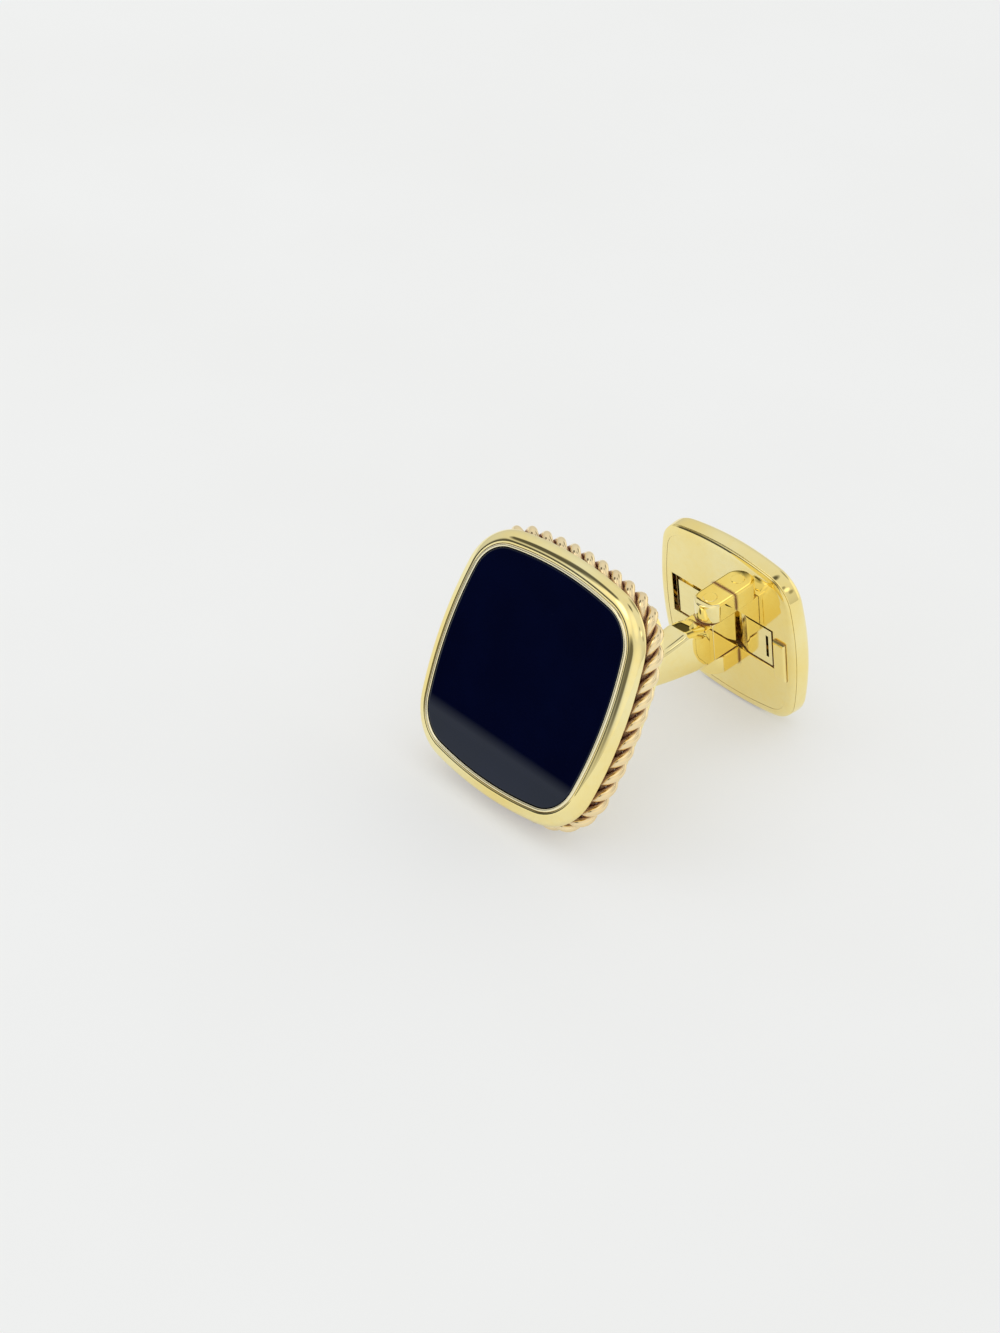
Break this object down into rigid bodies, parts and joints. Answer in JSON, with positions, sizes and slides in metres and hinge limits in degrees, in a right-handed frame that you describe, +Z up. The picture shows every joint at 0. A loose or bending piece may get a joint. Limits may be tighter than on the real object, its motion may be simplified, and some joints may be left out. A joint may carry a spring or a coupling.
{
  "type": "cufflink",
  "caption": "Cufflink with a cushion-shaped black stone in a gold band and twisted rope border, an arched post, and a hinged toggle back that turns in line with the post.",
  "frame": {"origin": "on the table under the middle of the link, which stands on the face's rope border and the toggle's lower edge", "axes": "+X across the face, +Y from the face to the toggle, +Z up"},
  "size_m": [0.017, 0.0238, 0.0159],
  "materials": {
    "polished_gold": "polished yellow gold alloy",
    "rose_gold": "polished gold alloy, slightly redder",
    "spring_gold": "hard rolled gold alloy, satin",
    "onyx": "polished opaque black stone with a blue cast",
    "cement": "dull setting cement"
  },
  "bodies": {
    "face": {"onyx_stone": "onyx", "stone_collar": "polished_gold", "bezel_frame": "polished_gold", "stone_seat": "polished_gold", "stone_bed": "cement", "gallery_wall": "rose_gold", "rope_strand_a": "rose_gold", "rope_strand_b": "rose_gold", "back_plate": "polished_gold", "post_foot": "polished_gold", "arched_post": "polished_gold", "post_knuckle": "polished_gold"},
    "toggle": {"hinge_pin": "polished_gold", "upper_lug": "polished_gold", "lower_lug": "polished_gold", "toggle_plate": "polished_gold", "toggle_rim": "polished_gold", "toggle_shell": "polished_gold", "spring_tray": "polished_gold", "leaf_spring": "spring_gold", "spring_keeper": "polished_gold"}
  },
  "joints": [
    {"name": "toggle_turn", "type": "hinge", "parent": "face", "child": "toggle", "pos_m": [0, 0.00756, 0.00572], "axis": [0, -0.1977, 0.9803], "range_deg": [0, 90]}
  ]
}
